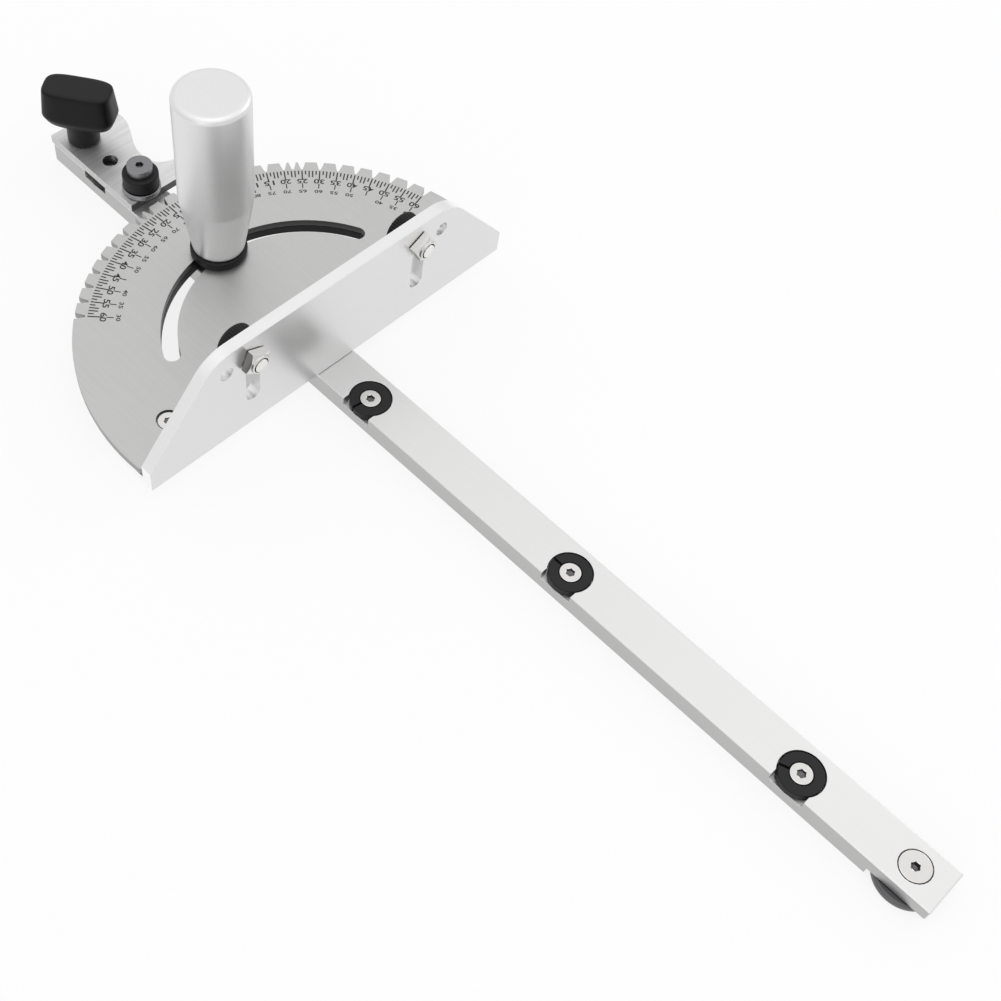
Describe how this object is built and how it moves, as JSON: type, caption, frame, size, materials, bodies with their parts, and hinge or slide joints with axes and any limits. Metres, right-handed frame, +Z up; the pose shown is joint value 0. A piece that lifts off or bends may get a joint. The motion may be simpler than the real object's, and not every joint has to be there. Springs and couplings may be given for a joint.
{
  "type": "miter gauge",
  "caption": "Miter gauge with a slot bar, a notched protractor head, an adjustable fence, a sliding index with a knob and a tall clamping handle.",
  "frame": {"origin": "on the protractor head's pivot axis, in the plane of the bar's bottom face", "axes": "+Y along the bar to its handle end, +X right along the fence, +Z up; the fence faces -Y"},
  "size_m": [0.1806, 0.4558, 0.096],
  "materials": {
    "bar_aluminium": "clear anodised, satin",
    "fence_aluminium": "clear anodised, satin",
    "handle_aluminium": "fine blasted, clear anodised",
    "plate_steel": "brushed",
    "screw_steel": "bright zinc",
    "washer_steel": "dark turned steel",
    "black_nylon": "moulded, matt",
    "black_plastic": "moulded, satin"
  },
  "bodies": {
    "bar": {"miter_bar": "bar_aluminium", "side_disc_1": "black_nylon", "side_disc_2": "black_nylon", "side_disc_3": "black_nylon", "side_disc_4": "black_nylon", "t_slot_washer": "washer_steel", "t_washer_screw": "screw_steel", "pivot_bush": "washer_steel", "pivot_screw": "screw_steel", "handle_stud": "screw_steel", "guide_boss": "washer_steel", "guide_sleeve": "black_nylon", "guide_screw": "washer_steel", "knob_stud": "screw_steel"},
    "head": {"protractor_plate": "plate_steel", "slot_spacer": "black_nylon", "fence_bracket": "fence_aluminium", "bracket_screw_left": "screw_steel", "bracket_screw_right": "screw_steel"},
    "index": {"index_plate": "plate_steel", "index_tooth": "plate_steel", "tooth_screw": "screw_steel"},
    "index_knob": {"index_knob": "black_plastic"},
    "handle": {"handle": "handle_aluminium", "handle_washer": "black_nylon"},
    "side_screw_1": {"side_screw_1": "screw_steel"},
    "side_screw_2": {"side_screw_2": "screw_steel"},
    "side_screw_3": {"side_screw_3": "screw_steel"},
    "side_screw_4": {"side_screw_4": "screw_steel"},
    "left_nut": {"hex_nut_left": "screw_steel"},
    "right_nut": {"hex_nut_right": "screw_steel"},
    "left_fence_knob": {"fence_knob_left": "black_plastic", "fence_bolt_left": "screw_steel"},
    "right_fence_knob": {"fence_knob_right": "black_plastic", "fence_bolt_right": "screw_steel"}
  },
  "joints": [
    {"name": "head_turn", "type": "hinge", "parent": "bar", "child": "head", "pos_m": [0, 0, 0], "axis": [0, 0, 1], "range_deg": [-60, 60]},
    {"name": "index_slide", "type": "slide", "parent": "bar", "child": "index", "axis": [0, -1, 0], "range_m": [0, 0.0045]},
    {"name": "index_knob_turn", "type": "hinge", "parent": "bar", "child": "index_knob", "pos_m": [0, 0.1416, 0], "axis": [0, 0, 1], "continuous": true},
    {"name": "handle_turn", "type": "hinge", "parent": "bar", "child": "handle", "pos_m": [0, 0.0538, 0], "axis": [0, 0, 1], "continuous": true},
    {"name": "side_screw_1_turn", "type": "hinge", "parent": "bar", "child": "side_screw_1", "pos_m": [-0.0018, -0.0365, 0], "axis": [0, 0, 1], "range_deg": [-180, 180]},
    {"name": "side_screw_2_turn", "type": "hinge", "parent": "bar", "child": "side_screw_2", "pos_m": [-0.0018, -0.1395, 0], "axis": [0, 0, 1], "range_deg": [-180, 180]},
    {"name": "side_screw_3_turn", "type": "hinge", "parent": "bar", "child": "side_screw_3", "pos_m": [-0.0018, -0.2425, 0], "axis": [0, 0, 1], "range_deg": [-180, 180]},
    {"name": "side_screw_4_turn", "type": "hinge", "parent": "bar", "child": "side_screw_4", "pos_m": [-0.0018, 0.123, 0], "axis": [0, 0, 1], "range_deg": [-180, 180]},
    {"name": "left_nut_slide", "type": "slide", "parent": "head", "child": "left_nut", "axis": [0, 0, 1], "range_m": [-0.0203, 0.0007]},
    {"name": "right_nut_slide", "type": "slide", "parent": "head", "child": "right_nut", "axis": [0, 0, 1], "range_m": [-0.0203, 0.0007]},
    {"name": "left_fence_knob_turn", "type": "hinge", "parent": "left_nut", "child": "left_fence_knob", "pos_m": [-0.0415, -0.01515, 0.046], "axis": [0, 1, 0], "continuous": true},
    {"name": "right_fence_knob_turn", "type": "hinge", "parent": "right_nut", "child": "right_fence_knob", "pos_m": [0.0415, -0.01515, 0.046], "axis": [0, 1, 0], "continuous": true}
  ]
}
